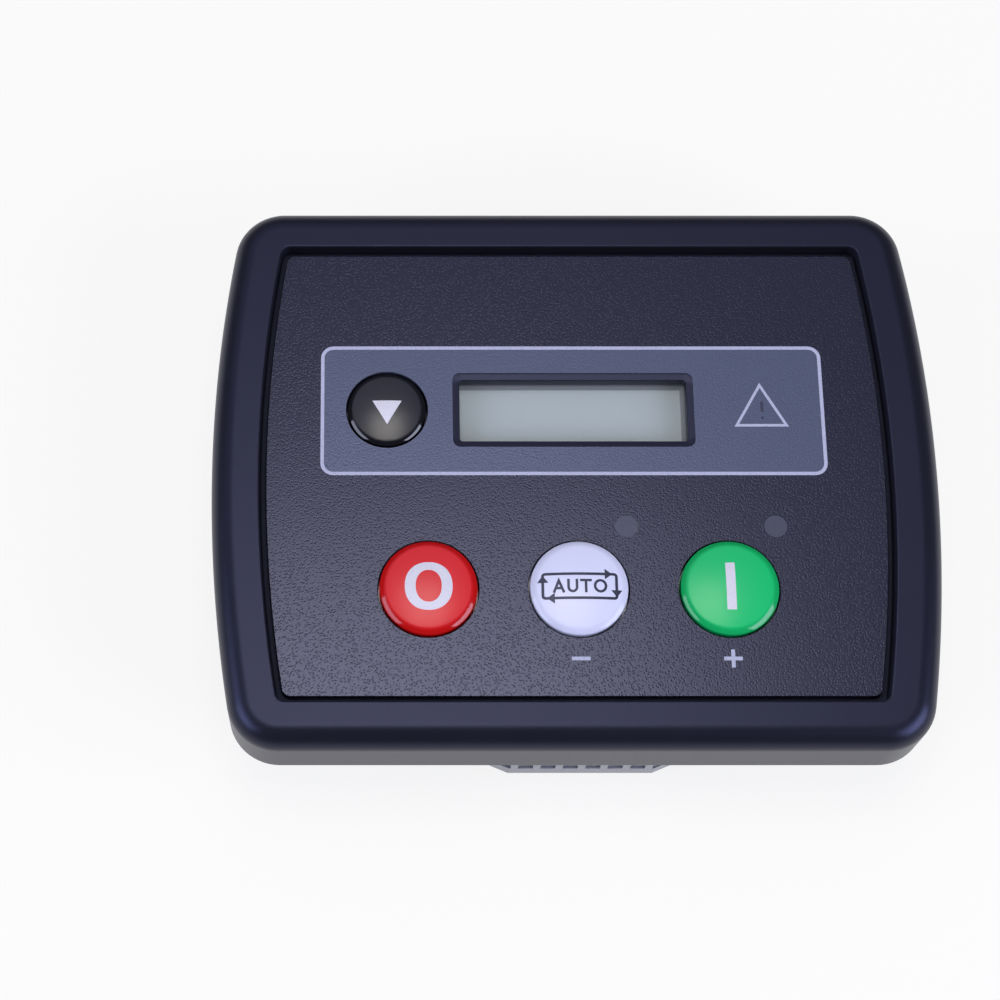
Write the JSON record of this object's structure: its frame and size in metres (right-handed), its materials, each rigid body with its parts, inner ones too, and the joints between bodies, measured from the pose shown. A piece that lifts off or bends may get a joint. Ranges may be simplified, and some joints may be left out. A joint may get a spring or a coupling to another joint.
{
  "type": "generator set controller",
  "caption": "Panel-mounted generator controller with a bowed bezel, a sunk textured face with a small display, scroll, stop, auto and start buttons, and plug-in terminals behind.",
  "frame": {"origin": "centre of the flat rear face", "axes": "+Z out of the face, +X to the right and +Y up the face as it is read"},
  "size_m": [0.165, 0.1296, 0.0374],
  "materials": {
    "bezel": "satin moulded",
    "overlay": "fine textured film with a slate display panel",
    "case": "satin moulded",
    "window": "clear, polished",
    "display": "grey-green display, unlit",
    "display_metal": "black coated sheet",
    "backlight": "white diffuser",
    "board": "solder mask",
    "nylon": "natural nylon",
    "chip": "moulded",
    "lamp": "diffused lens",
    "light_pipe": "clear rod, unlit",
    "switch": "moulded",
    "plunger": "moulded",
    "scroll_cap": "gloss black",
    "stop_cap": "gloss red",
    "auto_cap": "gloss white",
    "start_cap": "gloss green",
    "relay": "moulded",
    "capacitor": "sleeved can",
    "terminal": "moulded",
    "pin": "tinned",
    "steel": "plated"
  },
  "bodies": {
    "housing": {"front_bezel": "bezel", "fascia_overlay": "overlay", "display_window": "window", "lcd_frame": "display_metal", "lcd_glass": "display", "lcd_backlight": "backlight", "lcd_board": "board", "lcd_connector": "terminal", "lcd_standoffs": "nylon", "circuit_board": "board", "microcontroller": "chip", "auto_lamp": "lamp", "start_lamp": "lamp", "alarm_lamp": "lamp", "auto_light_pipe": "light_pipe", "start_light_pipe": "light_pipe", "alarm_light_pipe": "light_pipe", "scroll_switch": "switch", "stop_switch": "switch", "auto_switch": "switch", "start_switch": "switch", "fuel_relay": "relay", "start_relay": "relay", "supply_capacitors": "capacitor", "filter_inductor": "chip", "sensing_resistors": "chip", "supply_header": "terminal", "supply_pins": "pin", "supply_plug": "terminal", "supply_clamp_screws": "steel", "input_header": "terminal", "input_pins": "pin", "input_plug": "terminal", "input_clamp_screws": "steel", "generator_header": "terminal", "generator_pins": "pin", "generator_plug": "terminal", "generator_clamp_screws": "steel", "usb_socket": "steel", "rear_case": "case", "case_screws": "steel"},
    "scroll_key": {"scroll_button": "scroll_cap", "scroll_plunger": "plunger"},
    "stop_key": {"stop_button": "stop_cap", "stop_plunger": "plunger"},
    "auto_key": {"auto_button": "auto_cap", "auto_plunger": "plunger"},
    "start_key": {"start_button": "start_cap", "start_plunger": "plunger"}
  },
  "joints": [
    {"name": "scroll_press", "type": "slide", "parent": "housing", "child": "scroll_key", "axis": [0, 0, -1], "range_m": [0, 0.0008], "stiffness_N_per_m": 2500},
    {"name": "stop_press", "type": "slide", "parent": "housing", "child": "stop_key", "axis": [0, 0, -1], "range_m": [0, 0.0008], "stiffness_N_per_m": 2500},
    {"name": "auto_press", "type": "slide", "parent": "housing", "child": "auto_key", "axis": [0, 0, -1], "range_m": [0, 0.0008], "stiffness_N_per_m": 2500},
    {"name": "start_press", "type": "slide", "parent": "housing", "child": "start_key", "axis": [0, 0, -1], "range_m": [0, 0.0008], "stiffness_N_per_m": 2500}
  ]
}
